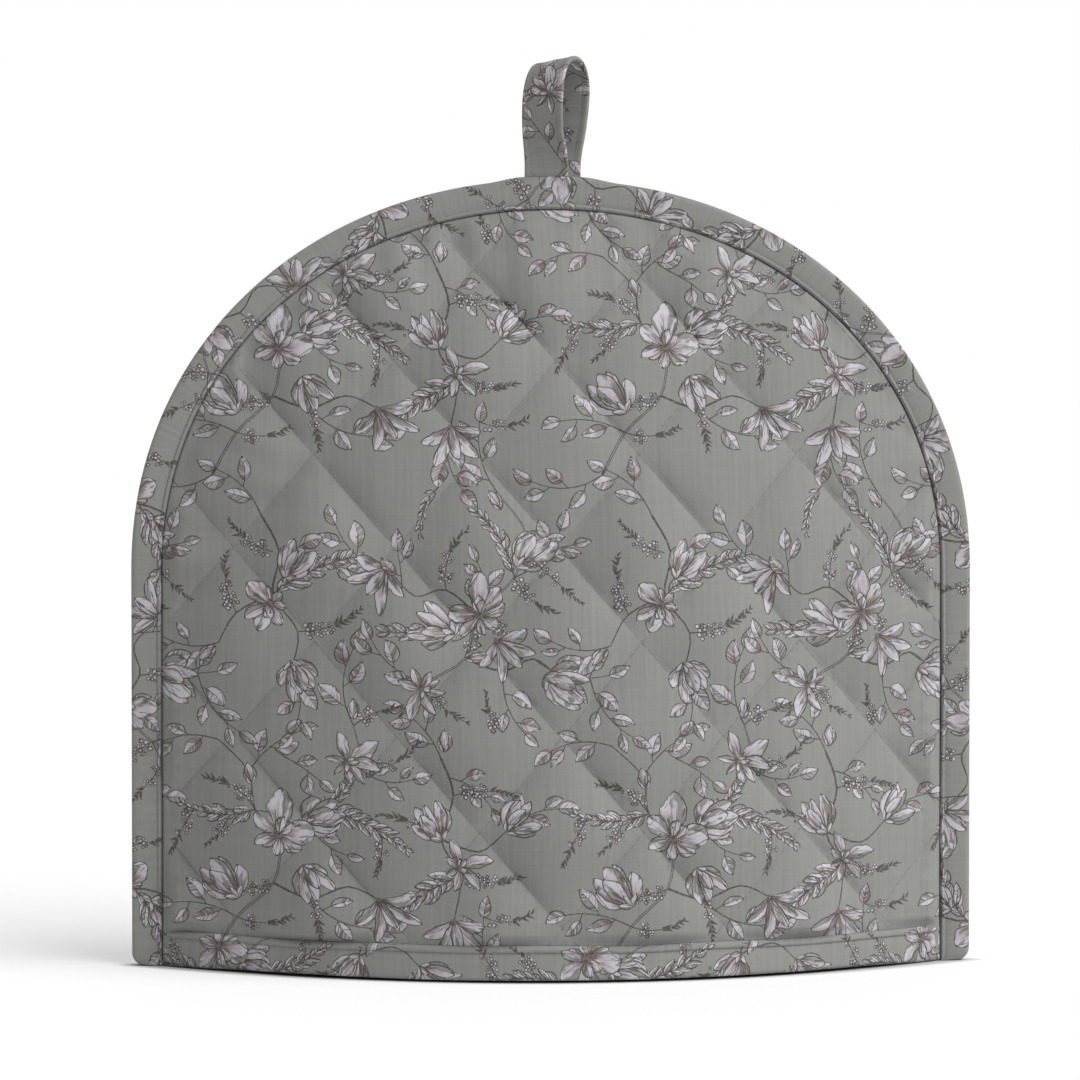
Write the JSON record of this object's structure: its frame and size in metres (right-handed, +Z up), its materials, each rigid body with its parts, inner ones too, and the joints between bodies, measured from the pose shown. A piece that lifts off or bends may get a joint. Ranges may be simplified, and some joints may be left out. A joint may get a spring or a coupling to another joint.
{
  "type": "tea cosy",
  "caption": "Quilted arched fabric cover that stands on its open hem over a teapot, with a bound seam and a hanging loop on top.",
  "frame": {"origin": "on the surface that the cosy stands on, under the middle of its box", "axes": "+Z up from the hem to the hanging loop, X along the seam between the two bottom corners, -Y out of the front panel"},
  "size_m": [0.28, 0.1158, 0.3019],
  "materials": {
    "quilted_cotton": "matt plain-weave cotton over thin wadding, quilted in diamonds, sage green with a pale lilac flower print",
    "cotton_binding": "matt plain-weave cotton strip in the same print, folded and edge-stitched",
    "cotton_strap": "matt plain-weave cotton strap in the same print, folded and stitched flat"
  },
  "bodies": {
    "root": {"panel_front": "quilted_cotton", "panel_back": "quilted_cotton", "binding_arch": "cotton_binding", "hem_binding_front": "cotton_binding", "hem_binding_back": "cotton_binding", "loop": "cotton_strap"}
  },
  "joints": []
}
